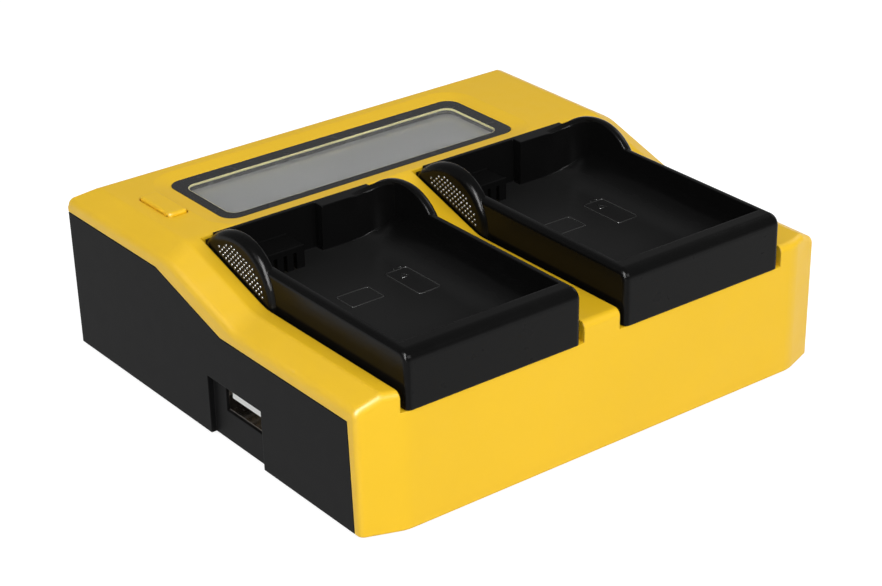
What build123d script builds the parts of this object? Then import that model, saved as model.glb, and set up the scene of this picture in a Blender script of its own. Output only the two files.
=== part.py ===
from build123d import *
import math
import os

os.makedirs("parts", exist_ok=True)

# Two-bay camera battery charger, in millimetres.
# Origin on the table under the middle of the housing, +X right, +Y to the back, +Z up.

# Housing
body_width = 118.0
body_depth = 106.4
foot_drop = 0.8
wall = 2.4
floor_thickness = 2.2
deck_thickness = 2.4
upper_deck = 37.4
lower_deck = 30.4
draft = 0.75
slope_run = 23.0
slope_lead = 0.3
slope_radius = 12.0
shoulder_run = 4.9
shoulder_fall = 2.9
rear_run = 4.1
shoulder_soft = 2.0
crease_soft = 1.6
front_edge_soft = 1.5
corner_run = 8.6
corner_setback = 3.2
corner_soft = 8.0

# Parting line between the two shells
seam_gap = 0.2
seam_below_deck = 5.45
seam_front_bottom = 5.0
seam_front_top = 5.8
seam_slope_shift = 4.6

# Battery bays and trays
bay_left_margin = 7.85
bay_right_margin = 12.65
bay_rib = 9.1
display_band = 39.1
bay_floor = 26.05
bay_skin = 1.6
tray_gap = 0.2
tray_side_gap = 1.15
tray_wall = 1.8
tray_floor = 1.45
tray_front = -0.4
tray_back_clearance = 0.3
tray_rim = 38.2
tray_back_top = 37.8
tray_front_wall = 4.6
tray_brow = 2.4
tray_edge = 1.2
tray_cove = 7.1
tray_bend = 7.3
back_wall = 1.0
back_block = 3.5
back_block_left = 5.2
ear_back_gap = 0.8
ear_from_back = 13.3
ear_front_radius = 12.0
ear_back_drop = 5.5
ear_rise = 4.1
ear_gap = 0.35
ear_soft = 1.8
ear_inner_soft = 0.5
ear_low = 28.0
ear_root_step = 0.2
terminal_left = -13.0
terminal_right = -2.2
terminal_reach = 6.5
terminal_height = 5.1

# Contacts between a battery, its tray and the bay
contact_count = 4
contact_pitch = 2.4
contact_thickness = 0.5
contact_blade_length = 3.0
contact_blade_height = 3.2
contact_first = -11.7
contact_from_back = 4.8
contact_slot = 0.8
terminal_lid = 1.4
contact_pad_width = 1.7
contact_pad_length = 6.0
contact_clearance = 0.1
spring_gap = 0.1
spring_length = 4.0
bay_board_width = 20.0
bay_board_length = 13.0
lead_radius = 0.7
lead_spread = 5.0
spring_thickness = 0.4
spring_width = 1.2
spring_slot = 0.4
bay_board_thickness = 1.2

# Display window in the upper deck
lens_left_margin = 17.3
lens_right_margin = 23.9
lens_front_margin = 4.2
lens_back_margin = 10.4
lens_corner = 3.4
lens_thickness = 1.0
lens_clearance = 0.1
mask_border_x = 2.8
mask_border_y = 2.95
mask_thickness = 0.2
lens_dip = 0.6
lens_dip_reach = 3.8
lcd_thickness = 2.2
lcd_margin = 1.5
lcd_drop = 0.6
backlight_thickness = 2.8

# Button and its switch
button_width = 4.5
button_length = 12.2
button_from_left = 10.6
button_from_back = 20.8
button_rise = 0.8
button_corner = 1.0
button_soft = 0.6
button_clearance = 0.3
button_flange = 1.0
button_flange_thickness = 1.0
button_flange_gap = 0.05
switch_gap = 0.55
switch_size = 6.0
switch_plunger_radius = 1.7
switch_body_height = 3.4

# Boards
board_thickness = 1.6
display_board_inset = 6.5
display_board_past_lens = 6.9
display_board_margin = 1.2
display_post_radius = 1.9
display_screw_radius = 0.9
display_head_radius = 1.8
display_post_inset = 2.6
main_board_gap = 2.6
main_board_front = 18.0
main_board_back_gap = 12.0
board_tab_width = 24.0
board_tab_gap = 3.0
main_post_inset = 5.0
main_post_radius = 3.2
screw_radius = 1.25
screw_head_radius = 2.3
screw_head_height = 1.6
screw_clearance = 0.15
board_screw_length = 4.0
cable_width = 14.0
cable_thickness = 0.3
cable_centre_x = 4.0

# USB outlet in the left side
usb_width = 13.2
usb_height = 5.7
usb_length = 14.0
usb_skin = 0.3
usb_centre_y = 43.2
usb_centre_z = 10.5
usb_hole_clearance = 0.2
usb_set_back = 0.4
usb_tongue_thickness = 1.8
usb_tongue_width = 11.2
usb_contact_pitch = 2.5
usb_contact_width = 1.0
side_recess_depth = 1.2
side_recess_front = 35.4
side_recess_back = 54.5
side_recess_top = 14.0

# Power inlet in the back wall
inlet_from_right = 39.0
inlet_width = 9.0
inlet_height = 11.0
inlet_length = 13.0
inlet_bore_radius = 3.1
inlet_bore_depth = 9.0
inlet_pin_radius = 1.0
inlet_collar_radius = 4.2
inlet_clearance = 0.25

# Parts on the main board
chip_size = 10.0
chip_height = 1.2
inductor_size = 12.0
inductor_height = 6.0
capacitor_radius = 4.0
capacitor_height = 11.0
part_pitch = 16.0

# Screws and feet under the floor
housing_post_radius = 3.0
housing_post_inset_x = 9.0
post_clearance = 0.4
housing_post_front = 12.0
housing_post_back_gap = 5.4
housing_screw_length = 9.0
housing_sink_depth = 1.3
housing_head_height = 1.1
foot_radius = 5.0
foot_well = 0.9
foot_inset_x = 20.0
foot_inset_y = 12.0

# Values that follow from the sizes above
half_width = body_width / 2
shoulder_lean = math.tan(math.radians(draft)) * (upper_deck - shoulder_fall - foot_drop)
front_y = -(body_depth + shoulder_lean + tray_front) / 2
back_y = front_y + body_depth
bottom_z = foot_drop
floor_z = bottom_z + floor_thickness
upper_seam = upper_deck - seam_below_deck - seam_gap / 2
lower_seam = lower_deck - seam_below_deck - seam_gap / 2
bay_half_width = (body_width - bay_left_margin - bay_right_margin - bay_rib) / 4
bay_centres = {
    "left": bay_left_margin + bay_half_width - half_width,
    "right": half_width - bay_right_margin - bay_half_width,
}
bay_back = body_depth - display_band
slope_back = bay_back - slope_lead
slope_front = slope_back - slope_run
tray_half_width = bay_half_width - tray_side_gap
tray_bottom = bay_floor + tray_gap
tray_floor_z = tray_bottom + tray_floor
tray_back = front_y + bay_back - tray_back_clearance
ear_half_width = bay_half_width - ear_gap
ear_top = tray_rim + ear_rise
lens_width = body_width - lens_left_margin - lens_right_margin
lens_depth = display_band - lens_front_margin - lens_back_margin
lens_centre_x = (lens_left_margin - lens_right_margin) / 2
lens_y = back_y - lens_back_margin - lens_depth / 2
lens_top = upper_deck - lens_dip
lens_seat = lens_top - lens_thickness - mask_thickness
lcd_top = upper_deck - deck_thickness - lcd_drop
backlight_top = lcd_top - lcd_thickness
display_board_top = backlight_top - backlight_thickness
display_board_bottom = display_board_top - board_thickness
display_board_left = display_board_inset - half_width
display_board_right = lens_centre_x + lens_width / 2 + display_board_past_lens
housing_post_back = body_depth - housing_post_back_gap
display_board_front = front_y + bay_back + bay_skin + display_board_margin
display_board_back = front_y + housing_post_back - housing_post_radius - post_clearance
button_centre_x = button_from_left - half_width
button_y = back_y - button_from_back
main_board_half_width = half_width - wall - main_board_gap
main_board_back = body_depth - wall - main_board_back_gap
board_tab_back = body_depth - wall - board_tab_gap
board_top = usb_centre_z - usb_height / 2
board_bottom = board_top - board_thickness
usb_y = front_y + usb_centre_y
inlet_centre_x = half_width - inlet_from_right
inlet_z = board_top + inlet_height / 2


def at_depth(distance):
    """Y of a point that lies this far behind the front of the housing."""
    return front_y + distance


def deck_points(drop, shift=0.0):
    """The two bends of the stepped deck line in the YZ plane, lowered by a drop and shifted back."""
    return [
        (at_depth(slope_front + shift), lower_deck - drop),
        (at_depth(slope_back + shift), upper_deck - drop),
    ]


def level_edges(shape, low):
    """Edges above a height that don't stand upright."""
    chosen = shape.edges().filter_by(lambda e: e.center().Z > low)
    return chosen.filter_by(lambda e: abs(e.tangent_at(0.5).Z) < 0.9)


# Side view of the housing: front wall, stepped deck and back, before its shoulders
low_z = bottom_z - 2 * shoulder_fall
with BuildSketch() as side_view:
    with BuildLine():
        FilletPolyline(
            (front_y - 1, low_z),
            (front_y - 1, lower_deck),
            *deck_points(0.0),
            (back_y + 2, upper_deck),
            (back_y + 2, low_z),
            radius=[0, slope_radius, slope_radius, 0],
        )
        Line((back_y + 2, low_z), (front_y - 1, low_z))
    make_face()

# Outer envelope of both shells, before the shells are parted
crease_x = half_width - shoulder_run
crease_y = back_y - rear_run
with BuildPart() as envelope:
    with BuildSketch(Plane.YZ):
        add(side_view.sketch_local)
    extrude(amount=crease_x, both=True)
    for hand in (-1, 1):
        with BuildSketch(Plane.YZ.offset(hand * crease_x)):
            add(side_view.sketch_local)
        extrude(
            amount=1.3 * math.hypot(shoulder_run + shoulder_lean, shoulder_fall),
            dir=(hand * (shoulder_run + shoulder_lean), 0, -shoulder_fall),
        )
    with BuildSketch(Plane.XY.offset(bottom_z)):
        with Locations((0, back_y)):
            Rectangle(body_width, 2 * body_depth, align=(Align.CENTER, Align.MAX))
    extrude(amount=upper_deck, taper=-draft, mode=Mode.INTERSECT)
    with BuildSketch(Plane.YZ):
        with BuildLine():
            Polyline(
                (front_y - 2, bottom_z),
                (front_y - 2, upper_deck),
                (crease_y, upper_deck),
                (back_y + 2 * shoulder_lean + rear_run, upper_deck - 2 * shoulder_fall),
                (back_y + 2 * shoulder_lean + rear_run, bottom_z),
                close=True,
            )
        make_face()
    extrude(amount=body_width, both=True, mode=Mode.INTERSECT)
    high = level_edges(envelope, lower_deck - shoulder_fall - 1)
    rims = high.filter_by(lambda e: abs(e.center().X) > half_width)
    rims += high.filter_by(lambda e: e.center().Y > back_y)
    fillet(rims, radius=shoulder_soft)
    high = level_edges(envelope, lower_deck - 0.1)
    creases = high.filter_by(lambda e: abs(abs(e.center().X) - crease_x) < 0.1)
    creases += high.filter_by(lambda e: abs(e.center().Y - crease_y) < 0.1)
    fillet(creases, radius=crease_soft)
    with BuildSketch(Plane.XY):
        with BuildLine():
            FilletPolyline(
                (-half_width - corner_run, back_y + 2),
                (-half_width - corner_run, at_depth(2 * corner_setback)),
                (corner_run - half_width, front_y),
                (half_width - corner_run, front_y),
                (half_width + corner_run, at_depth(2 * corner_setback)),
                (half_width + corner_run, back_y + 2),
                radius=[0, corner_soft, corner_soft, 0],
            )
            Line((half_width + corner_run, back_y + 2), (-half_width - corner_run, back_y + 2))
        make_face()
    extrude(amount=upper_deck + 1, mode=Mode.INTERSECT)
    lips = level_edges(envelope, lower_deck - shoulder_fall - 1)
    lips = lips.filter_by(lambda e: e.center().Y < at_depth(corner_setback))
    fillet(lips, radius=front_edge_soft)

# Hollow inside both shells
with BuildPart() as cavity:
    for half, drop, rear in (
        (half_width - wall, seam_below_deck, back_y - wall),
        (crease_x - 0.5, deck_thickness, crease_y - 0.5),
    ):
        with BuildSketch(Plane.YZ):
            with BuildLine():
                Polyline(
                    (at_depth(wall), floor_z),
                    (at_depth(wall), lower_deck - drop),
                    *deck_points(drop),
                    (rear, upper_deck - drop),
                    (rear, floor_z),
                    close=True,
                )
            make_face()
        extrude(amount=half, both=True)
    with BuildSketch(Plane.XY):
        with BuildLine():
            Polyline(
                (wall - half_width, back_y),
                (wall - half_width, at_depth(corner_setback + wall)),
                (corner_run - half_width, at_depth(wall)),
                (half_width - corner_run, at_depth(wall)),
                (half_width - wall, at_depth(corner_setback + wall)),
                (half_width - wall, back_y),
                close=True,
            )
        make_face()
    extrude(amount=upper_deck, mode=Mode.INTERSECT)


def parting_region(gap):
    """Side view of the bottom shell's share of the envelope, drawn in by a gap."""
    return [
        (at_depth(seam_front_bottom) + gap, bottom_z - 1),
        (at_depth(seam_front_top) + gap, lower_seam - gap),
        (at_depth(slope_front + seam_slope_shift), lower_seam - gap),
        (at_depth(slope_back + seam_slope_shift), upper_seam - gap),
        (back_y + 1, upper_seam - gap),
        (back_y + 1, bottom_z - 1),
    ]


# Walls and floors of the two battery bays, kept inside the envelope
with BuildPart() as bay_walls:
    for centre in bay_centres.values():
        with Locations((centre, front_y, bay_floor - bay_skin)):
            Box(
                2 * (bay_half_width + bay_skin),
                bay_back + bay_skin,
                upper_deck,
                align=(Align.CENTER, Align.MIN, Align.MIN),
            )
    add(envelope.part, mode=Mode.INTERSECT)

housing_post_places = [
    (x, at_depth(depth))
    for x in (housing_post_inset_x - half_width, half_width - housing_post_inset_x)
    for depth in (housing_post_front, housing_post_back)
]
display_post_places = [
    (x, y)
    for x in (display_board_left + display_post_inset, display_board_right - display_post_inset)
    for y in (display_board_front + display_post_inset, display_board_back - display_post_inset)
]
main_post_places = [
    (x, at_depth(depth))
    for x in (main_post_inset - main_board_half_width, main_board_half_width - main_post_inset)
    for depth in (main_board_front + main_post_inset, main_board_back - main_post_inset)
]
foot_places = [
    (x, y)
    for x in (foot_inset_x - half_width, half_width - foot_inset_x)
    for y in (at_depth(foot_inset_y), back_y - foot_inset_y)
]
contact_offsets = [contact_first + i * contact_pitch for i in range(contact_count)]
contact_y = at_depth(bay_back - contact_from_back)

# Posts that take the housing screws, kept inside the envelope
with BuildPart() as housing_posts:
    with BuildSketch(Plane.XY.offset(floor_z)):
        with Locations(*housing_post_places):
            Circle(housing_post_radius)
    extrude(amount=upper_deck)
    add(envelope.part, mode=Mode.INTERSECT)

# Yellow top shell: stepped deck, front wall, bays, display opening and posts
with BuildPart() as top_shell:
    add(envelope.part)
    with BuildSketch(Plane.YZ):
        with BuildLine():
            Polyline(*parting_region(0.0), close=True)
        make_face()
    extrude(amount=half_width + 1, both=True, mode=Mode.SUBTRACT)
    add(cavity.part, mode=Mode.SUBTRACT)
    add(housing_posts.part)
    with BuildSketch(Plane.XY.offset(display_board_top)):
        with Locations(*display_post_places):
            Circle(display_post_radius)
    extrude(amount=upper_deck - deck_thickness / 2 - display_board_top)
    add(bay_walls.part)
    for centre in bay_centres.values():
        with Locations((centre, front_y - 1, bay_floor)):
            Box(
                2 * bay_half_width,
                bay_back + 1,
                upper_deck,
                align=(Align.CENTER, Align.MIN, Align.MIN),
                mode=Mode.SUBTRACT,
            )
        with BuildSketch(Plane.XY.offset(bay_floor - bay_skin)):
            with Locations(*[(centre + u, contact_y) for u in contact_offsets]):
                Rectangle(spring_width + 2 * spring_slot, spring_length + 2 * spring_slot)
        extrude(amount=bay_skin, mode=Mode.SUBTRACT)
    with BuildSketch(Plane.XY.offset(lens_top)):
        with Locations((lens_centre_x, lens_y)):
            RectangleRounded(lens_width, lens_depth, lens_corner)
    with BuildSketch(Plane.XY.offset(upper_deck)):
        with Locations((lens_centre_x, lens_y)):
            RectangleRounded(
                lens_width + 2 * lens_dip_reach,
                lens_depth + 2 * lens_dip_reach,
                lens_corner + lens_dip_reach,
            )
    loft(mode=Mode.SUBTRACT)
    with BuildSketch(Plane.XY.offset(lens_seat)):
        with Locations((lens_centre_x, lens_y)):
            RectangleRounded(lens_width, lens_depth, lens_corner)
    extrude(amount=upper_deck - lens_seat, mode=Mode.SUBTRACT)
    with BuildSketch(Plane.XY.offset(upper_deck)):
        with Locations((lens_centre_x, lens_y)):
            RectangleRounded(
                lens_width - 2 * mask_border_x,
                lens_depth - 2 * mask_border_y,
                lens_corner - 1,
            )
        with Locations((button_centre_x, button_y)):
            RectangleRounded(
                button_width + 2 * button_clearance,
                button_length + 2 * button_clearance,
                button_corner + button_clearance,
            )
    extrude(amount=-2 * deck_thickness, mode=Mode.SUBTRACT)
    with BuildSketch(Plane.XY.offset(floor_z)):
        with Locations(*housing_post_places):
            Circle(screw_radius + screw_clearance)
    extrude(amount=housing_screw_length, mode=Mode.SUBTRACT)
    with BuildSketch(Plane.XY.offset(display_board_top)):
        with Locations(*display_post_places):
            Circle(display_screw_radius + screw_clearance)
    extrude(amount=board_screw_length, mode=Mode.SUBTRACT)
top_shell.part.label = "top_shell"
export_step(top_shell.part, "parts/top_shell.step")

# Black bottom shell: floor, sides and back, with the side recess and both socket openings
with BuildPart() as bottom_shell:
    with BuildSketch(Plane.YZ):
        with BuildLine():
            Polyline(*parting_region(seam_gap), close=True)
        make_face()
    extrude(amount=half_width + 1, both=True)
    add(envelope.part, mode=Mode.INTERSECT)
    add(cavity.part, mode=Mode.SUBTRACT)
    with BuildSketch(Plane.XY.offset(floor_z)):
        with Locations(*main_post_places):
            Circle(main_post_radius)
    extrude(amount=board_bottom - floor_z)
    with BuildSketch(Plane.XY.offset(board_bottom)):
        with Locations(*main_post_places):
            Circle(screw_radius + screw_clearance)
    extrude(amount=floor_z - board_bottom, mode=Mode.SUBTRACT)
    with Locations((-half_width - 1, at_depth(side_recess_front), bottom_z - 1)):
        Box(
            side_recess_depth + 1,
            side_recess_back - side_recess_front,
            side_recess_top - bottom_z + 1,
            align=(Align.MIN, Align.MIN, Align.MIN),
            mode=Mode.SUBTRACT,
        )
    with Locations((-half_width, usb_y, usb_centre_z)):
        Box(
            2 * wall + 1,
            usb_width + 2 * usb_hole_clearance,
            usb_height + 2 * usb_hole_clearance,
            mode=Mode.SUBTRACT,
        )
    with BuildSketch(Plane.XZ.offset(-back_y - 1)):
        with Locations((inlet_centre_x, inlet_z)):
            Circle(inlet_collar_radius + inlet_clearance)
    extrude(amount=wall + 2, mode=Mode.SUBTRACT)
    with BuildSketch(Plane.XY.offset(bottom_z)):
        with Locations(*housing_post_places):
            Circle(screw_head_radius + screw_clearance)
    extrude(amount=housing_sink_depth, mode=Mode.SUBTRACT)
    with BuildSketch(Plane.XY.offset(bottom_z)):
        with Locations(*housing_post_places):
            Circle(screw_radius + screw_clearance)
    extrude(amount=floor_thickness, mode=Mode.SUBTRACT)
    with BuildSketch(Plane.XY.offset(bottom_z)):
        with Locations(*foot_places):
            Circle(foot_radius + 0.2)
    extrude(amount=foot_well, mode=Mode.SUBTRACT)
bottom_shell.part.label = "bottom_shell"
export_step(bottom_shell.part, "parts/bottom_shell.step")


# Display stack under the window
with BuildPart() as display_lens:
    with BuildSketch(Plane.XY.offset(lens_top - lens_thickness)):
        with Locations((lens_centre_x, lens_y)):
            RectangleRounded(
                lens_width - 2 * lens_clearance,
                lens_depth - 2 * lens_clearance,
                lens_corner - lens_clearance,
            )
    extrude(amount=lens_thickness)
display_lens.part.label = "display_lens"
export_step(display_lens.part, "parts/display_lens.step")

with BuildPart() as display_mask:
    with BuildSketch(Plane.XY.offset(lens_seat)):
        with Locations((lens_centre_x, lens_y)):
            RectangleRounded(
                lens_width - 2 * lens_clearance,
                lens_depth - 2 * lens_clearance,
                lens_corner - lens_clearance,
            )
            RectangleRounded(
                lens_width - 2 * mask_border_x,
                lens_depth - 2 * mask_border_y,
                lens_corner - 1,
                mode=Mode.SUBTRACT,
            )
    extrude(amount=mask_thickness)
display_mask.part.label = "display_mask"
export_step(display_mask.part, "parts/display_mask.step")

lcd_width = lens_width - 2 * mask_border_x + 2 * lcd_margin
lcd_depth = lens_depth - 2 * mask_border_y + 2 * lcd_margin

with BuildPart() as lcd_panel:
    with Locations((lens_centre_x, lens_y, backlight_top)):
        Box(lcd_width, lcd_depth, lcd_thickness, align=(Align.CENTER, Align.CENTER, Align.MIN))
lcd_panel.part.label = "lcd_panel"
export_step(lcd_panel.part, "parts/lcd_panel.step")

with BuildPart() as lcd_backlight:
    with Locations((lens_centre_x, lens_y, display_board_top)):
        Box(lcd_width, lcd_depth, backlight_thickness, align=(Align.CENTER, Align.CENTER, Align.MIN))
lcd_backlight.part.label = "lcd_backlight"
export_step(lcd_backlight.part, "parts/lcd_backlight.step")

with BuildPart() as display_board:
    with Locations((display_board_left, display_board_front, display_board_bottom)):
        Box(
            display_board_right - display_board_left,
            display_board_back - display_board_front,
            board_thickness,
            align=(Align.MIN, Align.MIN, Align.MIN),
        )
    with BuildSketch(Plane.XY.offset(display_board_bottom)):
        with Locations(*display_post_places):
            Circle(display_screw_radius + screw_clearance)
    extrude(amount=board_thickness, mode=Mode.SUBTRACT)
display_board.part.label = "display_board"
export_step(display_board.part, "parts/display_board.step")

# Button bar with its retaining flange, and the switch below it
flange_top = upper_deck - deck_thickness - button_flange_gap
flange_bottom = flange_top - button_flange_thickness

with BuildPart() as function_button:
    with BuildSketch(Plane.XY.offset(flange_top)):
        with Locations((button_centre_x, button_y)):
            RectangleRounded(button_width, button_length, button_corner)
    extrude(amount=upper_deck + button_rise - flange_top)
    fillet(function_button.faces().sort_by(Axis.Z)[-1].edges(), radius=button_soft)
    with Locations((button_centre_x, button_y, flange_bottom)):
        Box(
            button_width + 2 * button_flange,
            button_length + 2 * button_flange,
            button_flange_thickness,
            align=(Align.CENTER, Align.CENTER, Align.MIN),
        )
function_button.part.label = "function_button"
export_step(function_button.part, "parts/function_button.step")

with BuildPart() as tact_switch:
    with Locations((button_centre_x, button_y, display_board_top)):
        Box(
            switch_size,
            switch_size,
            switch_body_height,
            align=(Align.CENTER, Align.CENTER, Align.MIN),
        )
    with BuildSketch(Plane.XY.offset(display_board_top + switch_body_height)):
        with Locations((button_centre_x, button_y)):
            Circle(switch_plunger_radius)
    extrude(amount=flange_bottom - switch_gap - display_board_top - switch_body_height)
tact_switch.part.label = "tact_switch"
export_step(tact_switch.part, "parts/tact_switch.step")

with BuildPart() as display_cable:
    with Locations((cable_centre_x, display_board_front + display_board_margin, board_top)):
        Box(
            cable_width,
            cable_thickness,
            display_board_bottom - board_top,
            align=(Align.CENTER, Align.MIN, Align.MIN),
        )
display_cable.part.label = "display_cable"
export_step(display_cable.part, "parts/display_cable.step")

# Main board on the floor posts, with its larger parts
with BuildPart() as main_board:
    with Locations((0, at_depth(main_board_front), board_bottom)):
        Box(
            2 * main_board_half_width,
            main_board_back - main_board_front,
            board_thickness,
            align=(Align.CENTER, Align.MIN, Align.MIN),
        )
    with Locations((inlet_centre_x, at_depth(main_board_front), board_bottom)):
        Box(
            board_tab_width,
            board_tab_back - main_board_front,
            board_thickness,
            align=(Align.CENTER, Align.MIN, Align.MIN),
        )
    with BuildSketch(Plane.XY.offset(board_bottom)):
        with Locations(*main_post_places):
            Circle(screw_radius + screw_clearance)
    extrude(amount=board_thickness, mode=Mode.SUBTRACT)
main_board.part.label = "main_board"
export_step(main_board.part, "parts/main_board.step")

part_row_front = at_depth(main_board_front) + part_pitch
part_row_back = at_depth(main_board_back) - part_pitch

with BuildPart() as controller_chip:
    with Locations((-part_pitch, part_row_front, board_top)):
        Box(chip_size, chip_size, chip_height, align=(Align.CENTER, Align.CENTER, Align.MIN))
controller_chip.part.label = "controller_chip"
export_step(controller_chip.part, "parts/controller_chip.step")

with BuildPart() as power_inductors:
    with Locations(*[(i * part_pitch, part_row_front, board_top) for i in (0.5, 1.5)]):
        Box(
            inductor_size,
            inductor_size,
            inductor_height,
            align=(Align.CENTER, Align.CENTER, Align.MIN),
        )
power_inductors.part.label = "power_inductors"
export_step(power_inductors.part, "parts/power_inductors.step")

with BuildPart() as filter_capacitors:
    with BuildSketch(Plane.XY.offset(board_top)):
        with Locations(*[(-i * part_pitch, part_row_back) for i in (0.5, 1.5)]):
            Circle(capacitor_radius)
    extrude(amount=capacitor_height)
filter_capacitors.part.label = "filter_capacitors"
export_step(filter_capacitors.part, "parts/filter_capacitors.step")

# USB outlet, its mouth facing the left side
usb_mouth = side_recess_depth + usb_set_back - half_width
usb_inner_top = usb_centre_z + usb_height / 2 - usb_skin
usb_base_length = usb_length / 3
usb_tongue_top = usb_centre_z + usb_tongue_thickness

with BuildPart() as usb_shell:
    with Locations((usb_mouth, usb_y, usb_centre_z)):
        Box(usb_length, usb_width, usb_height, align=(Align.MIN, Align.CENTER, Align.CENTER))
        Box(
            usb_length - usb_skin,
            usb_width - 2 * usb_skin,
            usb_height - 2 * usb_skin,
            align=(Align.MIN, Align.CENTER, Align.CENTER),
            mode=Mode.SUBTRACT,
        )
usb_shell.part.label = "usb_shell"
export_step(usb_shell.part, "parts/usb_shell.step")

with BuildPart() as usb_tongue:
    with Locations((usb_mouth + usb_length - usb_skin, usb_y, usb_centre_z)):
        Box(
            usb_base_length,
            usb_width - 2 * usb_skin - 0.1,
            usb_height - 2 * usb_skin - 0.1,
            align=(Align.MAX, Align.CENTER, Align.CENTER),
        )
    with Locations((usb_mouth + usb_set_back, usb_y, usb_tongue_top)):
        Box(
            usb_length - usb_skin - usb_set_back,
            usb_tongue_width,
            usb_tongue_thickness,
            align=(Align.MIN, Align.CENTER, Align.MAX),
        )
usb_tongue.part.label = "usb_tongue"
export_step(usb_tongue.part, "parts/usb_tongue.step")

with BuildPart() as usb_contacts:
    with Locations(
        *[
            (usb_mouth + 2 * usb_set_back, usb_y + i * usb_contact_pitch, usb_centre_z)
            for i in (-1.5, -0.5, 0.5, 1.5)
        ]
    ):
        Box(
            usb_length - usb_base_length - usb_skin - 3 * usb_set_back,
            usb_contact_width,
            usb_skin,
            align=(Align.MIN, Align.CENTER, Align.MAX),
        )
usb_contacts.part.label = "usb_contacts"
export_step(usb_contacts.part, "parts/usb_contacts.step")

# Power inlet with its centre pin, mouth in the back wall
inlet_front = back_y - wall - inlet_clearance

with BuildPart() as dc_inlet:
    with Locations((inlet_centre_x, inlet_front, board_top)):
        Box(
            inlet_width,
            inlet_length,
            inlet_height,
            align=(Align.CENTER, Align.MAX, Align.MIN),
        )
    with BuildSketch(Plane.XZ.offset(-inlet_front)):
        with Locations((inlet_centre_x, inlet_z)):
            Circle(inlet_collar_radius)
    extrude(amount=-wall)
    with BuildSketch(Plane.XZ.offset(-inlet_front - wall)):
        with Locations((inlet_centre_x, inlet_z)):
            Circle(inlet_bore_radius)
    extrude(amount=inlet_bore_depth, mode=Mode.SUBTRACT)
dc_inlet.part.label = "dc_inlet"
export_step(dc_inlet.part, "parts/dc_inlet.step")

with BuildPart() as dc_inlet_pin:
    with BuildSketch(Plane.XZ.offset(-inlet_front - wall + inlet_bore_depth)):
        with Locations((inlet_centre_x, inlet_z)):
            Circle(inlet_pin_radius)
    extrude(amount=-inlet_bore_depth + 1)
dc_inlet_pin.part.label = "dc_inlet_pin"
export_step(dc_inlet_pin.part, "parts/dc_inlet_pin.step")


# Trays, their contacts and the parts of each bay
tray_front_y = at_depth(tray_front)
tray_inner = tray_half_width - tray_wall
tray_inner_front = tray_front_y + tray_front_wall
hollow_back = tray_back - back_block
ear_middle = at_depth(bay_back - ear_from_back)
ear_front = ear_middle - ear_front_radius
ear_back = at_depth(bay_back - ear_back_gap)
root_top = ear_top - ear_root_step
root_back = ear_back - ear_root_step
root_low = ear_low + ear_root_step
root_start = tray_back_top - ear_root_step
root_reach = ear_inner_soft + ear_root_step
terminal_front = tray_back - back_wall - terminal_reach
bay_board_top = bay_floor - bay_skin
spring_front = contact_y - spring_length / 2
spring_back = contact_y + spring_length / 2
spring_top = tray_bottom - spring_gap
contact_middle = sum(contact_offsets) / contact_count

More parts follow.
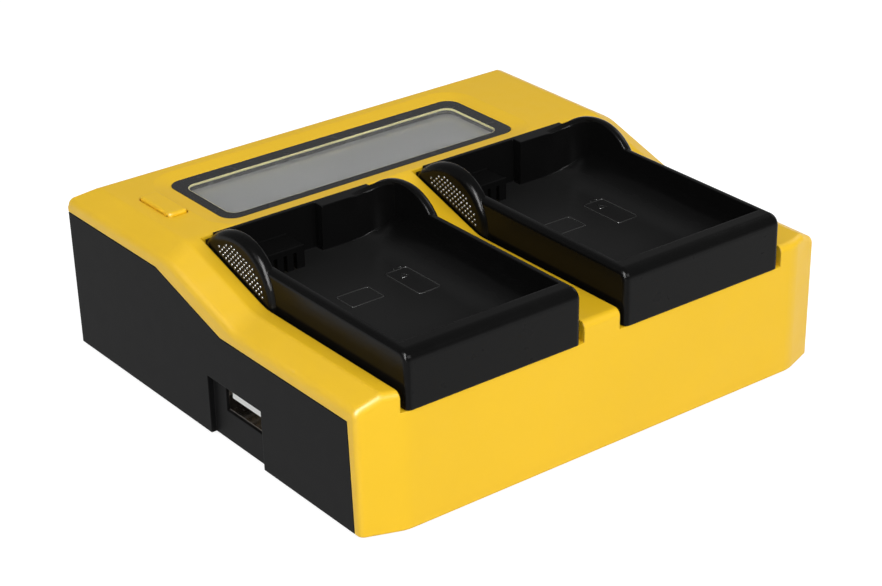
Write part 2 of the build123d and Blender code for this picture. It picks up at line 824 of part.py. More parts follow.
for side, centre in bay_centres.items():
    with BuildPart() as ears:
        for hand in (-1, 1):
            with BuildSketch(Plane.YZ.offset(centre + hand * tray_inner)):
                with BuildLine():
                    Line((ear_front, ear_low), (ear_front, ear_top - ear_front_radius))
                    TangentArc(
                        (ear_front, ear_top - ear_front_radius),
                        (ear_middle, ear_top),
                        tangent=(0, 1),
                    )
                    TangentArc(
                        (ear_middle, ear_top),
                        (ear_back, ear_top - ear_back_drop),
                        tangent=(1, 0),
                    )
                    Line((ear_back, ear_top - ear_back_drop), (ear_back, ear_low))
                    Line((ear_back, ear_low), (ear_front, ear_low))
                make_face()
            extrude(amount=hand * (ear_half_width - tray_inner))
        rounds = ears.edges().filter_by(lambda e: e.center().Z > ear_low + 1)
        reach = ear_half_width - ear_inner_soft
        fillet(rounds.filter_by(lambda e: abs(e.center().X - centre) > reach), radius=ear_soft)
        rounds = ears.edges().filter_by(lambda e: e.center().Z > tray_rim)
        reach = tray_inner + ear_inner_soft
        fillet(rounds.filter_by(lambda e: abs(e.center().X - centre) < reach), radius=ear_inner_soft)

    with BuildPart() as hollow:
        with BuildSketch(Plane((centre, hollow_back, 0), (1, 0, 0), (0, -1, 0))):
            with BuildLine():
                FilletPolyline(
                    (-tray_inner, 2 * tray_rim),
                    (-tray_inner, tray_floor_z),
                    (tray_inner, tray_floor_z),
                    (tray_inner, 2 * tray_rim),
                    radius=tray_cove,
                )
                Line((tray_inner, 2 * tray_rim), (-tray_inner, 2 * tray_rim))
            make_face()
        extrude(amount=hollow_back - tray_inner_front)
        with BuildSketch(Plane.XY.offset(tray_floor_z)) as hollow_plan:
            with Locations((centre, (hollow_back + tray_inner_front) / 2)):
                Rectangle(2 * tray_inner, hollow_back - tray_inner_front)
            corner = hollow_plan.vertices().group_by(Axis.Y)[-1].sort_by(Axis.X)[-1]
            fillet(corner, radius=tray_bend)
        extrude(amount=2 * tray_rim, mode=Mode.INTERSECT)

    with BuildPart() as ear_root:
        with BuildSketch(Plane.YZ.offset(centre + tray_inner - tray_bend)):
            with BuildLine():
                Line((ear_middle, root_low), (ear_middle, root_top))
                TangentArc((ear_middle, root_top), (root_back, root_top - ear_back_drop), tangent=(1, 0))
                Line((root_back, root_top - ear_back_drop), (root_back, root_low))
                Line((root_back, root_low), (ear_middle, root_low))
            make_face()
        extrude(amount=tray_bend + root_reach)
        with BuildSketch(Plane.XZ):
            with BuildLine():
                bend_x = centre + tray_inner - tray_bend
                join_x = centre + tray_inner + root_reach
                TangentArc((bend_x, root_start), (join_x, root_top), tangent=(1, 0))
                Line((join_x, root_top), (join_x, root_low))
                Line((join_x, root_low), (bend_x, root_low))
                Line((bend_x, root_low), (bend_x, root_start))
            make_face()
        extrude(amount=body_depth, both=True, mode=Mode.INTERSECT)
        add(hollow.part, mode=Mode.SUBTRACT)

    with BuildPart() as tray:
        with BuildSketch(Plane.YZ.offset(centre)):
            with BuildLine():
                FilletPolyline(
                    (tray_front_y, tray_bottom),
                    (tray_front_y, tray_rim),
                    (tray_back, tray_rim),
                    (tray_back, tray_bottom),
                    radius=[tray_brow, 0],
                )
                Line((tray_back, tray_bottom), (tray_front_y, tray_bottom))
            make_face()
        extrude(amount=tray_half_width, both=True)
        rims = tray.edges().filter_by(lambda e: e.center().Z > tray_bottom + 1)
        rims = rims.filter_by(lambda e: e.center().Y < tray_back - 1)
        fillet(rims.filter_by(lambda e: abs(e.center().X - centre) > tray_inner), radius=tray_edge)
        add(hollow.part, mode=Mode.SUBTRACT)
        with Locations((centre - tray_inner, tray_back - back_wall, tray_floor_z)):
            Box(
                tray_inner + back_block_left,
                back_block,
                tray_rim,
                align=(Align.MIN, Align.MAX, Align.MIN),
                mode=Mode.SUBTRACT,
            )
        with Locations((centre, tray_back + 1, tray_back_top)):
            Box(
                2 * tray_inner,
                back_block + 2,
                tray_rim,
                align=(Align.CENTER, Align.MAX, Align.MIN),
                mode=Mode.SUBTRACT,
            )
        with Locations((centre + terminal_left, tray_back - back_wall, tray_floor_z)):
            Box(
                terminal_right - terminal_left,
                terminal_reach,
                terminal_height,
                align=(Align.MIN, Align.MAX, Align.MIN),
            )
        for hand in (-1, 1):
            with Locations((centre + hand * tray_inner, ear_middle, ear_top - ear_back_drop)):
                Box(
                    2 * tray_wall + 1,
                    tray_back - ear_middle + 1,
                    tray_rim,
                    align=(Align.MIN if hand > 0 else Align.MAX, Align.MIN, Align.MIN),
                    mode=Mode.SUBTRACT,
                )
        add(ears.part)
        add(ear_root.part)
        with Locations(*[(centre + u, terminal_front, tray_floor_z) for u in contact_offsets]):
            Box(
                contact_slot,
                terminal_reach - 1.5,
                terminal_height - terminal_lid,
                align=(Align.CENTER, Align.MIN, Align.MIN),
                mode=Mode.SUBTRACT,
            )
        with Locations(*[(centre + u, contact_y, tray_bottom) for u in contact_offsets]):
            Box(
                contact_pad_width + 2 * contact_clearance,
                contact_pad_length + 2 * contact_clearance,
                contact_thickness + contact_clearance,
                align=(Align.CENTER, Align.CENTER, Align.MIN),
                mode=Mode.SUBTRACT,
            )
            Box(
                contact_thickness + 2 * contact_clearance,
                contact_blade_length + 2 * contact_clearance,
                2 * tray_floor,
                align=(Align.CENTER, Align.CENTER, Align.MIN),
                mode=Mode.SUBTRACT,
            )
    tray.part.label = side + "_tray"
    export_step(tray.part, "parts/" + side + "_tray.step")

    with BuildPart() as tray_contacts:
        with Locations(*[(centre + u, contact_y, tray_bottom) for u in contact_offsets]):
            Box(
                contact_pad_width,
                contact_pad_length,
                contact_thickness,
                align=(Align.CENTER, Align.CENTER, Align.MIN),
            )
            Box(
                contact_thickness,
                contact_blade_length,
                tray_floor + contact_blade_height,
                align=(Align.CENTER, Align.CENTER, Align.MIN),
            )
    tray_contacts.part.label = side + "_tray_contacts"
    export_step(tray_contacts.part, "parts/" + side + "_tray_contacts.step")

    with BuildPart() as bay_board:
        with Locations((centre + contact_middle, contact_y, bay_board_top)):
            Box(
                bay_board_width,
                bay_board_length,
                bay_board_thickness,
                align=(Align.CENTER, Align.CENTER, Align.MAX),
            )
    bay_board.part.label = side + "_bay_board"
    export_step(bay_board.part, "parts/" + side + "_bay_board.step")

    with BuildPart() as bay_springs:
        for u in contact_offsets:
            with BuildSketch(Plane.YZ.offset(centre + u)):
                with BuildLine():
                    Polyline(
                        (spring_front, bay_board_top),
                        (spring_back, bay_board_top),
                        (spring_back, spring_top),
                        (contact_y - spring_length / 4, spring_top),
                        (contact_y - spring_length / 4, spring_top - spring_thickness),
                        (spring_back - spring_thickness, spring_top - spring_thickness),
                        (spring_back - spring_thickness, bay_board_top + spring_thickness),
                        (spring_front, bay_board_top + spring_thickness),
                        close=True,
                    )
                make_face()
            extrude(amount=spring_width / 2, both=True)
    bay_springs.part.label = side + "_bay_springs"
    export_step(bay_springs.part, "parts/" + side + "_bay_springs.step")

    with BuildPart() as bay_leads:
        with BuildSketch(Plane.XY.offset(board_top)):
            for hand in (-1, 1):
                with Locations((centre + contact_middle + hand * lead_spread, contact_y)):
                    Circle(lead_radius)
        extrude(amount=bay_board_top - bay_board_thickness - board_top)
    bay_leads.part.label = side + "_bay_leads"
    export_step(bay_leads.part, "parts/" + side + "_bay_leads.step")

# Fasteners and feet
with BuildPart() as housing_screws:
    with BuildSketch(Plane.XY.offset(bottom_z + housing_sink_depth)):
        with Locations(*housing_post_places):
            Circle(screw_head_radius)
    extrude(amount=-housing_head_height)
    with BuildSketch(Plane.XY.offset(bottom_z + housing_sink_depth)):
        with Locations(*housing_post_places):
            Circle(screw_radius)
    extrude(amount=housing_screw_length - 1)
housing_screws.part.label = "housing_screws"
export_step(housing_screws.part, "parts/housing_screws.step")

with BuildPart() as display_screws:
    with BuildSketch(Plane.XY.offset(display_board_bottom)):
        with Locations(*display_post_places):
            Circle(display_head_radius)
    extrude(amount=-screw_head_height)
    with BuildSketch(Plane.XY.offset(display_board_bottom)):
        with Locations(*display_post_places):
            Circle(display_screw_radius)
    extrude(amount=board_screw_length)
display_screws.part.label = "display_screws"
export_step(display_screws.part, "parts/display_screws.step")

with BuildPart() as board_screws:
    with BuildSketch(Plane.XY.offset(board_top)):
        with Locations(*main_post_places):
            Circle(screw_head_radius)
    extrude(amount=screw_head_height)
    with BuildSketch(Plane.XY.offset(board_top)):
        with Locations(*main_post_places):
            Circle(screw_radius)
    extrude(amount=-board_screw_length)
board_screws.part.label = "board_screws"
export_step(board_screws.part, "parts/board_screws.step")

with BuildPart() as rubber_feet:
    with BuildSketch(Plane.XY):
        with Locations(*foot_places):
            Circle(foot_radius)
    extrude(amount=foot_drop + foot_well)
rubber_feet.part.label = "rubber_feet"
export_step(rubber_feet.part, "parts/rubber_feet.step")
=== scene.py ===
import math

import bmesh
import bpy
from mathutils import Matrix, Vector


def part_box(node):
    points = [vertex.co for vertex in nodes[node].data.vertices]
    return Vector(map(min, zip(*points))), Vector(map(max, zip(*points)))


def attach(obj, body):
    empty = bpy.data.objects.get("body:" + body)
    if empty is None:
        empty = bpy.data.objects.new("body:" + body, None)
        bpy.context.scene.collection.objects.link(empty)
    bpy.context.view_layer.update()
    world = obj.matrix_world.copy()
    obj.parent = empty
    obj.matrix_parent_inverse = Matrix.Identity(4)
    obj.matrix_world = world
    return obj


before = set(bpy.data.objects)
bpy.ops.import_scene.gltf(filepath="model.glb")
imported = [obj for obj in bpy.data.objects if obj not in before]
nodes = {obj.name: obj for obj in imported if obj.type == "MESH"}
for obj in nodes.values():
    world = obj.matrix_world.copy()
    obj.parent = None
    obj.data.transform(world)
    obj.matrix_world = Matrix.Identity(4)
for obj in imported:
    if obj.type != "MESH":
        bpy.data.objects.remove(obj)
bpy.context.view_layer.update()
scene = bpy.context.scene

# The added shapes are written in millimetres, and the frame counts in metres
MM = 0.001

# Sockets of a Mix node, which has its own pair of inputs for numbers and for colours
MIX_FACTOR = 0
MIX_NUMBER_A = 2
MIX_NUMBER_B = 3
MIX_NUMBER_OUT = 0
MIX_COLOUR_A = 6
MIX_COLOUR_B = 7
MIX_COLOUR_OUT = 2

# Noise scales per metre, with the detail of the finest noise and the stretch of drawn lines
COLOUR_DRIFT = 35.0
GLOSS_DRIFT = 220.0
SMUDGES = 60.0
DRAWN_LINES = 900.0
FINE_DETAIL = 2.0
LINE_STRETCH = (1.0, 8.0, 1.0)

# How far drawn lines take a metal's roughness down and up, and the window's from clean to smudged
METAL_DRIFT = (0.06, 0.08)
WINDOW_ROUGH = (0.02, 0.07)

# Rays that look for an edge to soften
EDGE_SAMPLES = 6


def shader(name):
    """A new material, with its node tree and its Principled shader."""
    material = bpy.data.materials.new(name)
    material.use_nodes = True
    tree = material.node_tree
    return material, tree, tree.nodes["Principled BSDF"]


def noise(tree, scale, detail=3.0, stretch=(1.0, 1.0, 1.0)):
    """The value of a noise texture in object space, its scale counted per metre."""
    where = tree.nodes.new("ShaderNodeTexCoord")
    mapping = tree.nodes.new("ShaderNodeMapping")
    mapping.inputs["Scale"].default_value = stretch
    texture = tree.nodes.new("ShaderNodeTexNoise")
    texture.inputs["Scale"].default_value = scale
    texture.inputs["Detail"].default_value = detail
    tree.links.new(where.outputs["Object"], mapping.inputs["Vector"])
    tree.links.new(mapping.outputs["Vector"], texture.inputs["Vector"])
    return texture.outputs[0]


def spread(tree, value, low, high, start=0.3, end=0.7):
    """Maps a value that runs from start to end onto the range from low to high."""
    ranged = tree.nodes.new("ShaderNodeMapRange")
    ranged.inputs["From Min"].default_value = start
    ranged.inputs["From Max"].default_value = end
    ranged.inputs["To Min"].default_value = low
    ranged.inputs["To Max"].default_value = high
    tree.links.new(value, ranged.inputs["Value"])
    return ranged.outputs["Result"]


def reckon(tree, operation, first, second):
    """The result of a Math node on two sockets."""
    step = tree.nodes.new("ShaderNodeMath")
    step.operation = operation
    tree.links.new(first, step.inputs[0])
    tree.links.new(second, step.inputs[1])
    return step.outputs[0]


def plastic(
    name, colour, shade, rough, grain, depth, specular=0.5, bevel=0.0, coat=0.0, uneven=0.045
):
    """Moulded plastic: slight colour drift, uneven gloss, a fine mould grain and softened edges.

    The colour drifts down to shade times itself, and the roughness drifts by uneven to either side.
    The grain is a noise scale per metre. Its depth and bevel, the radius of softened edges, are in
    metres.
    """
    material, tree, principled = shader(name)
    mix = tree.nodes.new("ShaderNodeMix")
    mix.data_type = "RGBA"
    mix.inputs[MIX_COLOUR_A].default_value = (*colour, 1.0)
    mix.inputs[MIX_COLOUR_B].default_value = (*[part * shade for part in colour], 1.0)
    drift = spread(tree, noise(tree, COLOUR_DRIFT), 0.0, 1.0)
    tree.links.new(drift, mix.inputs[MIX_FACTOR])
    tree.links.new(mix.outputs[MIX_COLOUR_OUT], principled.inputs["Base Color"])
    gloss = spread(tree, noise(tree, GLOSS_DRIFT), rough - uneven, rough + uneven)
    tree.links.new(gloss, principled.inputs["Roughness"])
    bump = tree.nodes.new("ShaderNodeBump")
    bump.inputs["Strength"].default_value = 1.0
    bump.inputs["Distance"].default_value = depth
    tree.links.new(noise(tree, grain, FINE_DETAIL), bump.inputs["Height"])
    if bevel:
        edge = tree.nodes.new("ShaderNodeBevel")
        edge.samples = EDGE_SAMPLES
        edge.inputs["Radius"].default_value = bevel
        tree.links.new(edge.outputs["Normal"], bump.inputs["Normal"])
    tree.links.new(bump.outputs["Normal"], principled.inputs["Normal"])
    principled.inputs["Specular IOR Level"].default_value = specular
    principled.inputs["Coat Weight"].default_value = coat
    return material


# The trays' plastic. Its matt texture lies on the floor and, in part, on the front, and its colour
# there is lighter: partly a real texture, partly painted light that gives these upward and
# front-facing faces the lighter tone they take where lit. It fades out between two heights or two
# depths in metres, and between two tilts of the surface.
POLISHED = 0.0045
TEXTURED_PAINTED_LIGHT = 0.0135
TEXTURED_ROUGH = 0.42
TEXTURE_AND_PAINTED_LIGHT_ON_FRONT = 0.45
FADE_ABOVE_FLOOR = (0.0285, 0.033)
FADE_FROM_LEVEL = (0.5, 0.95)
FADE_BEHIND_FRONT = (-0.0525, -0.05)
FADE_FROM_FRONTAL = (-0.98, -0.9)


def tray_plastic():
    """Polished rims, sides and ears, with a fine matt texture on the floor and the front, whose
    lighter colour there is partly painted light.
    """
    material = plastic(
        "tray_plastic", (POLISHED, POLISHED, POLISHED), shade=0.85, rough=0.19, grain=1800.0,
        depth=0.000005, specular=0.06, bevel=0.0004,
    )
    tree = material.node_tree
    principled = tree.nodes["Principled BSDF"]
    where = tree.nodes.new("ShaderNodeTexCoord")
    place = tree.nodes.new("ShaderNodeSeparateXYZ")
    facing = tree.nodes.new("ShaderNodeSeparateXYZ")
    tree.links.new(where.outputs["Object"], place.inputs[0])
    tree.links.new(where.outputs["Normal"], facing.inputs[0])
    low = spread(tree, place.outputs["Z"], 1.0, 0.0, *FADE_ABOVE_FLOOR)
    upward = spread(tree, facing.outputs["Z"], 0.0, 1.0, *FADE_FROM_LEVEL)
    foremost = spread(tree, place.outputs["Y"], 1.0, 0.0, *FADE_BEHIND_FRONT)
    forward = spread(tree, facing.outputs["Y"], TEXTURE_AND_PAINTED_LIGHT_ON_FRONT, 0.0, *FADE_FROM_FRONTAL)
    on_floor = reckon(tree, "MULTIPLY", low, upward)
    on_front = reckon(tree, "MULTIPLY", forward, foremost)
    matt = reckon(tree, "MAXIMUM", on_floor, on_front)

    # Painted light in part: the matt colour is lighter than the polished one, the tone of lit
    # upward and front-facing faces.
    colour = tree.nodes.new("ShaderNodeMix")
    colour.data_type = "RGBA"
    tree.links.new(matt, colour.inputs[MIX_FACTOR])
    polished_colour = principled.inputs["Base Color"].links[0].from_socket
    tree.links.new(polished_colour, colour.inputs[MIX_COLOUR_A])
    colour.inputs[MIX_COLOUR_B].default_value = (TEXTURED_PAINTED_LIGHT, TEXTURED_PAINTED_LIGHT, TEXTURED_PAINTED_LIGHT, 1.0)
    tree.links.new(colour.outputs[MIX_COLOUR_OUT], principled.inputs["Base Color"])

    gloss = tree.nodes.new("ShaderNodeMix")
    tree.links.new(matt, gloss.inputs[MIX_FACTOR])
    polished_gloss = principled.inputs["Roughness"].links[0].from_socket
    tree.links.new(polished_gloss, gloss.inputs[MIX_NUMBER_A])
    gloss.inputs[MIX_NUMBER_B].default_value = TEXTURED_ROUGH
    tree.links.new(gloss.outputs[MIX_NUMBER_OUT], principled.inputs["Roughness"])
    return material


def metal(name, colour, rough):
    """Plated metal with fine drawn lines in its gloss."""
    material, tree, principled = shader(name)
    principled.inputs["Base Color"].default_value = (*colour, 1.0)
    principled.inputs["Metallic"].default_value = 1.0
    lines = noise(tree, DRAWN_LINES, FINE_DETAIL, LINE_STRETCH)
    below, above = METAL_DRIFT
    gloss = spread(tree, lines, rough - below, rough + above)
    tree.links.new(gloss, principled.inputs["Roughness"])
    return material


def clear_plastic(name, colour, refraction):
    """Clear plastic with faint smudges in its gloss."""
    material, tree, principled = shader(name)
    principled.inputs["Base Color"].default_value = (*colour, 1.0)
    principled.inputs["IOR"].default_value = refraction
    principled.inputs["Transmission Weight"].default_value = 1.0
    gloss = spread(tree, noise(tree, SMUDGES), *WINDOW_ROUGH)
    tree.links.new(gloss, principled.inputs["Roughness"])
    return material


yellow = plastic(
    "yellow_plastic", (0.9, 0.55, 0.011), shade=0.97, rough=0.42, grain=2600.0,
    depth=0.000012, specular=0.36, bevel=0.0004,
)
black = plastic(
    "black_plastic", (0.0038, 0.0038, 0.004), shade=0.98, rough=0.555, grain=2200.0,
    depth=0.00001, specular=0.06, bevel=0.0003, uneven=0.01,
)
tray_black = tray_plastic()
# Painted highlight: the dots are the tray's plastic, lightened to stand in for the glint on each
# dot.
grip_painted_glint = plastic(
    "grip_dots_painted_glint", (0.09, 0.085, 0.075), shade=0.8, rough=0.2, grain=1800.0,
    depth=0.000004, specular=0.9, coat=0.6,
)
# Painted highlight: the raised lines are the tray's plastic, lightened to stand in for the glint
# along them.
moulded_line_painted_glint = plastic(
    "moulded_lines_painted_glint", (0.02, 0.02, 0.02), shade=0.8, rough=0.25, grain=1800.0,
    depth=0.000004, specular=0.6,
)
charcoal = plastic(
    "window_mask", (0.024, 0.0235, 0.023), shade=0.9, rough=0.25, grain=1500.0,
    depth=0.000004, specular=0.4,
)
# Painted highlight: the pale colour of the line round the display's opening.
painted_highlight_edge = plastic(
    "window_painted_highlight", (0.95, 0.86, 0.38), shade=0.95, rough=0.4, grain=1800.0, depth=0.000004
)
lcd_grey = plastic(
    "display_glass", (0.28, 0.277, 0.271), shade=0.98, rough=0.1, grain=1500.0,
    depth=0.0000005, specular=1.0, coat=0.5,
)
white = plastic(
    "white_plastic", (0.86, 0.86, 0.84), shade=0.97, rough=0.4, grain=1800.0, depth=0.00001
)
board = plastic(
    "circuit_board", (0.03, 0.16, 0.06), shade=0.7, rough=0.35, grain=1200.0, depth=0.00001
)
dark = plastic(
    "dark_part", (0.02, 0.02, 0.02), shade=0.8, rough=0.5, grain=2000.0, depth=0.00001
)
ferrite = plastic(
    "ferrite", (0.06, 0.06, 0.06), shade=0.7, rough=0.6, grain=2500.0, depth=0.00003
)
rubber = plastic(
    "rubber", (0.018, 0.018, 0.018), shade=0.8, rough=0.75, grain=2600.0, depth=0.00002
)
steel = metal("plated_steel", (0.72, 0.71, 0.69), rough=0.22)
# Painted shade: the USB shell's plated steel is darkened to the shade inside the port.
socket_steel_painted_shade = metal("socket_steel_painted_shade", (0.16, 0.145, 0.13), rough=0.2)
gold = metal("contact_metal", (0.83, 0.64, 0.34), rough=0.26)
window = clear_plastic("clear_window", (0.97, 0.98, 0.98), refraction=1.46)

finish = {
    "top_shell": yellow,
    "function_button": yellow,
    "bottom_shell": black,
    "left_tray": tray_black,
    "right_tray": tray_black,
    "display_lens": window,
    "display_mask": charcoal,
    "lcd_panel": lcd_grey,
    "lcd_backlight": white,
    "display_board": board,
    "main_board": board,
    "left_bay_board": board,
    "right_bay_board": board,
    "tact_switch": dark,
    "controller_chip": dark,
    "dc_inlet": dark,
    "left_bay_leads": dark,
    "right_bay_leads": dark,
    "power_inductors": ferrite,
    "display_cable": white,
    "usb_tongue": white,
    "filter_capacitors": steel,
    "usb_shell": socket_steel_painted_shade,
    "dc_inlet_pin": steel,
    "housing_screws": steel,
    "display_screws": steel,
    "board_screws": steel,
    "usb_contacts": gold,
    "left_tray_contacts": gold,
    "right_tray_contacts": gold,
    "left_bay_springs": gold,
    "right_bay_springs": gold,
    "rubber_feet": rubber,
}
for node, material in finish.items():
    slots = nodes[node].data.materials
    slots.clear()
    slots.append(material)


def vertex(grid, x, y, z):
    """A new point of a mesh, given in millimetres."""
    return grid.verts.new((x * MM, y * MM, z * MM))


def skin(grid, rings, closed):
    """Faces from each ring of points to the next, and back to the first where it is closed."""
    pairs = list(zip(rings, rings[1:]))
    if closed:
        pairs.append((rings[-1], rings[0]))
    for first, second in pairs:
        count = len(first)
        for k in range(count):
            after = (k + 1) % count
            grid.faces.new((first[k], first[after], second[after], second[k]))


def keep(name, grid, material, body):
    """Turns a bmesh into a named, smooth piece that rides on a body."""
    bmesh.ops.recalc_face_normals(grid, faces=grid.faces)
    mesh = bpy.data.meshes.new(name)
    grid.to_mesh(mesh)
    grid.free()
    mesh.materials.append(material)
    for face in mesh.polygons:
        face.use_smooth = True
    piece = bpy.data.objects.new(name, mesh)
    scene.collection.objects.link(piece)
    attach(piece, body)


# The trays' middles across, and the y of the housing's front, from which depths are counted
CENTRES = {"left": -29.05, "right": 24.25}
FRONT = -53.22

# Dotted field on the outer faces of the ears. Its heights are counted from the housing's underside,
# which the feet hold above the floor. An arc is the height of its middle and its radius.
FEET = 0.8
EAR_FACE = 21.75
EAR_MIDDLE = 54.0
GRIP_BACK = 61.2
GRIP_LOW_DEPTH = 46.9
GRIP_LOW_HEIGHT = 31.5
GRIP_FRONT_ARC = (29.3, 9.25)
GRIP_BACK_ARC = (24.3, 14.5)
GRIP_SLOPE = math.radians(17.3)

# Dots in rows that run along the field's slope, from a first dot in the middle of the ear
FIRST_DOT_HEIGHT = 34.0
DOT_ROWS = range(-2, 12)
DOTS_ALONG = range(-20, 21)
DOT_PITCH = 1.1
ROW_SHARE = 0.87
DOT_RADIUS = 0.36
DOT_HEIGHT = 0.26
DOT_ROOT = 0.05
DOT_RINGS = 3
DOT_SIDES = 10


def on_grip(depth, height):
    """True inside the dotted field of an ear."""
    low = GRIP_LOW_HEIGHT + (depth - GRIP_LOW_DEPTH) * math.tan(GRIP_SLOPE)
    if depth > GRIP_BACK or height < low:
        return False
    arc_height, arc_radius = GRIP_FRONT_ARC if depth < EAR_MIDDLE else GRIP_BACK_ARC
    return math.hypot(depth - EAR_MIDDLE, height - arc_height) < arc_radius


def dot_places():
    """Depth and height of each dot, in staggered rows."""
    places = []
    for row in DOT_ROWS:
        for step in DOTS_ALONG:
            along = (step + 0.5 * (row % 2)) * DOT_PITCH
            over = row * DOT_PITCH * ROW_SHARE
            depth = EAR_MIDDLE + along * math.cos(GRIP_SLOPE) - over * math.sin(GRIP_SLOPE)
            height = FIRST_DOT_HEIGHT + along * math.sin(GRIP_SLOPE) + over * math.cos(GRIP_SLOPE)
            if on_grip(depth, height):
                places.append((depth, height))
    return places


def dome(grid, x, y, z, hand):
    """One low round dot, rooted in an upright face that looks left (-1) or right (1)."""
    rings = []
    for ring in range(DOT_RINGS):
        lift = 0.5 * math.pi * ring / DOT_RINGS
        radius = DOT_RADIUS * math.cos(lift)
        rise = DOT_HEIGHT * math.sin(lift) if ring else -DOT_ROOT
        points = []
        for side in range(DOT_SIDES):
            turn = 2.0 * math.pi * side / DOT_SIDES
            across = radius * math.cos(turn)
            up = radius * math.sin(turn)
            points.append(vertex(grid, x + hand * rise, y + across, z + up))
        rings.append(points)
    tip = vertex(grid, x + hand * DOT_HEIGHT, y, z)
    skin(grid, rings, closed=False)
    top = rings[-1]
    for k in range(DOT_SIDES):
        grid.faces.new((top[k], top[(k + 1) % DOT_SIDES], tip))
    grid.faces.new(rings[0])


for side, middle in CENTRES.items():
    grid = bmesh.new()
    for hand in (-1, 1):
        for depth, height in dot_places():
            dome(grid, middle + hand * EAR_FACE, FRONT + depth, height + FEET, hand)
    keep(side + "_tray_grip_dots", grid, grip_painted_glint, side + "_tray")

# Tray floor: its height, half its flat width and the radius of the cove on either side
FLOOR = 27.7
FLAT_HALF = 12.05
COVE = 7.1

# Raised outlines on the floor, across from a tray's middle and back from the housing's front.
# A rectangle is its least and greatest corner, and the profile is reach to the side and rise.
BATTERY = (8.4, 34.5, 13.7, 46.2)
BATTERY_CORNER = 0.7
BATTERY_CAP = ((11.0, 46.2), (11.0, 47.0), (12.8, 47.0), (12.8, 46.2))
BATTERY_ARROW = ((10.3, 42.6), (12.0, 42.6), (11.1, 44.4))
PLAIN_FRAME = (-5.6, 38.1, 2.3, 43.8)
PLAIN_FRAME_CORNER = 0.5
LINE_PROFILE = ((-0.224, -0.05), (-0.112, 0.12), (0.112, 0.12), (0.224, -0.05))
CORNER_STEPS = 4


def floor_at(across):
    """Height of a tray's floor at a distance from its middle: flat, then rising along the cove."""
    past = max(0.0, abs(across) - FLAT_HALF)
    return FLOOR + COVE - math.sqrt(COVE * COVE - past * past)


def ridge(grid, middle, points, closed=True):
    """A low raised line along a path on a tray floor."""
    count = len(points)
    rings = []
    for k, point in enumerate(points):
        here = Vector(point)
        before = Vector(points[(k - 1) % count]) if closed or k > 0 else here
        after = Vector(points[(k + 1) % count]) if closed or k < count - 1 else here
        ahead = (after - before).normalized()
        sideways = Vector((-ahead.y, ahead.x))
        ring = []
        for reach, rise in LINE_PROFILE:
            place = here + sideways * reach
            height = floor_at(place.x) + rise
            ring.append(vertex(grid, middle + place.x, FRONT + place.y, height))
        rings.append(ring)
    skin(grid, rings, closed)
    if not closed:
        grid.faces.new(rings[0])
        grid.faces.new(rings[-1])


def rounded(x0, y0, x1, y1, radius):
    """Points round a rectangle with soft corners."""
    points = []
    for corner_x, corner_y, start in (
        (x1 - radius, y0 + radius, -90.0),
        (x1 - radius, y1 - radius, 0.0),
        (x0 + radius, y1 - radius, 90.0),
        (x0 + radius, y0 + radius, 180.0),
    ):
        for k in range(CORNER_STEPS + 1):
            turn = math.radians(start + 90.0 * k / CORNER_STEPS)
            points.append((corner_x + radius * math.cos(turn), corner_y + radius * math.sin(turn)))
    return points


for side, middle in CENTRES.items():
    grid = bmesh.new()
    ridge(grid, middle, rounded(*BATTERY, BATTERY_CORNER))
    ridge(grid, middle, BATTERY_CAP, closed=False)
    ridge(grid, middle, BATTERY_ARROW)
    ridge(grid, middle, rounded(*PLAIN_FRAME, PLAIN_FRAME_CORNER))
    keep(side + "_tray_outlines", grid, moulded_line_painted_glint, side + "_tray")

# Painted light round the inside of the display's mask: a pale line, a painted highlight for the lit
# edge of the opening, with a dark wall from there down to the display, painted shade below that
# line.
mask_low, mask_high = (Vector(corner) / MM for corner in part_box("display_mask"))
glass_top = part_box("lcd_panel")[1][2] / MM
INSET_X = 2.71
INSET_Y = 2.86
OPENING_CORNER = 2.4
LINE_HEIGHT = 0.5
LINE_WIDTH = 0.14
WALL_WIDTH = 0.08
TOP_SLANT = 0.03
CLEARANCE = 0.02


def collar(name, bottom, top, width, material):
    """A thin wall round the display's opening."""
    loops = []
    for step in (0.0, width):
        loops.append(
            rounded(
                mask_low.x + INSET_X + step,
                mask_low.y + INSET_Y + step,
                mask_high.x - INSET_X - step,
                mask_high.y - INSET_Y - step,
                OPENING_CORNER - step,
            )
        )
    grid = bmesh.new()
    rings = []
    for outer, inner in zip(*loops):
        ring = []
        for place, z in (
            (outer, bottom),
            (outer, top),
            (inner, top - TOP_SLANT),
            (inner, bottom),
        ):
            ring.append(vertex(grid, place[0], place[1], z))
        rings.append(ring)
    skin(grid, rings, closed=True)
    keep(name, grid, material, "housing")


line_bottom = mask_high.z - LINE_HEIGHT
line_top = mask_high.z - CLEARANCE
wall_bottom = glass_top + CLEARANCE
collar("display_opening_painted_highlight", line_bottom, line_top, LINE_WIDTH, painted_highlight_edge)
# Painted shade: a dark wall under the pale line, standing in for the shaded band inside the
# opening.
collar("display_opening_painted_shade", wall_bottom, line_bottom, WALL_WIDTH, charcoal)

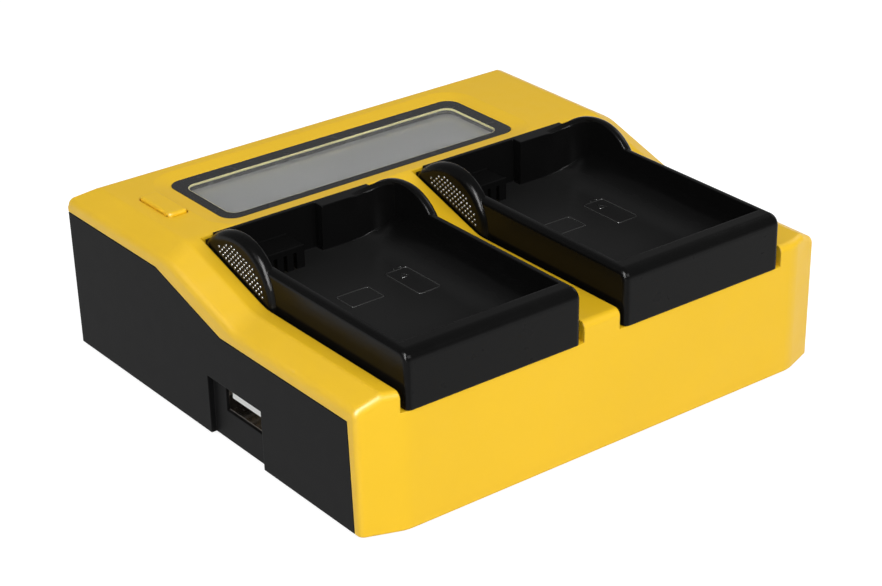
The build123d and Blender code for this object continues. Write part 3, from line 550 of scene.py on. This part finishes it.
# Stage: a grey floor that camera, mirror and glass rays see as white
FLOOR_GREY = (0.35, 0.35, 0.35, 1.0)
WHITE = (1.0, 1.0, 1.0, 1.0)
FLOOR_ROUGH = 0.8
FLOOR_GLOW = 0.85
FLOOR_SIZE = 6.0
floor_material, floor_tree, floor_shader = shader("floor")
floor_shader.inputs["Base Color"].default_value = FLOOR_GREY
floor_shader.inputs["Roughness"].default_value = FLOOR_ROUGH
floor_shader.inputs["Emission Color"].default_value = WHITE
rays = floor_tree.nodes.new("ShaderNodeLightPath").outputs
direct = reckon(floor_tree, "MAXIMUM", rays["Is Camera Ray"], rays["Is Transmission Ray"])
seen = reckon(floor_tree, "MAXIMUM", direct, rays["Is Glossy Ray"])
glow = spread(floor_tree, seen, 0.0, FLOOR_GLOW, 0.0, 1.0)
floor_tree.links.new(glow, floor_shader.inputs["Emission Strength"])
floor_mesh = bpy.data.meshes.new("floor")
grid = bmesh.new()
bmesh.ops.create_grid(grid, x_segments=1, y_segments=1, size=FLOOR_SIZE)
grid.to_mesh(floor_mesh)
grid.free()
floor_mesh.materials.append(floor_material)
floor = bpy.data.objects.new("floor", floor_mesh)
scene.collection.objects.link(floor)


def softbox(name, place, aim, size, power):
    """A rectangular area light that points at a target and isn't seen by the camera."""
    light = bpy.data.lights.new(name, "AREA")
    light.shape = "RECTANGLE"
    light.size, light.size_y = size
    light.energy = power
    lamp = bpy.data.objects.new(name, light)
    lamp.location = place
    direction = Vector(aim) - Vector(place)
    lamp.rotation_euler = direction.to_track_quat("-Z", "Y").to_euler()
    lamp.visible_camera = False
    scene.collection.objects.link(lamp)
    return lamp


# Soft light from the front, the left and the right
softbox("key", place=(-0.06, -0.5, 0.37), aim=(0.0, -0.02, 0.02), size=(0.55, 0.22), power=2.8)
softbox("left", place=(-0.7, 0.0, 0.44), aim=(0.0, 0.0, 0.02), size=(0.4, 0.3), power=1.45)
softbox("right", place=(0.6, 0.05, 0.36), aim=(0.0, 0.0, 0.03), size=(0.3, 0.3), power=0.7)

# This one is only seen in reflections: it draws the glints on the trays' edges and dots
strip = softbox(
    "strip", place=(-0.56, -0.22, 0.36), aim=(0.0, 0.0, 0.03), size=(0.2, 0.6), power=20.0
)
strip.visible_diffuse = False
strip.visible_transmission = False

WORLD_LIGHT = 0.35
world = bpy.data.worlds.new("studio")
world.use_nodes = True
background = world.node_tree.nodes["Background"]
background.inputs["Color"].default_value = WHITE
background.inputs["Strength"].default_value = WORLD_LIGHT
scene.world = world

# The photograph's camera, from its place and the directions of the picture's right and top
CAMERA_PLACE = (-0.27018, -0.35308, 0.23476)
CAMERA_RIGHT = (0.7907, -0.6121, -0.0150)
CAMERA_UP = (0.2827, 0.3432, 0.8958)
CAMERA_LENS = 94.89
SENSOR_WIDTH = 36.0
NEAREST = 0.01
FARTHEST = 50.0
camera_data = bpy.data.cameras.new("camera")
camera_data.sensor_width = SENSOR_WIDTH
camera_data.lens = CAMERA_LENS
camera_data.clip_start = NEAREST
camera_data.clip_end = FARTHEST
camera = bpy.data.objects.new("camera", camera_data)
scene.collection.objects.link(camera)
right = Vector(CAMERA_RIGHT).normalized()
up = Vector(CAMERA_UP)
up = (up - right * up.dot(right)).normalized()
back = right.cross(up)
turn = Matrix((right, up, back)).transposed().to_4x4()
camera.matrix_world = Matrix.Translation(CAMERA_PLACE) @ turn
scene.camera = camera
scene.view_settings.view_transform = "Standard"
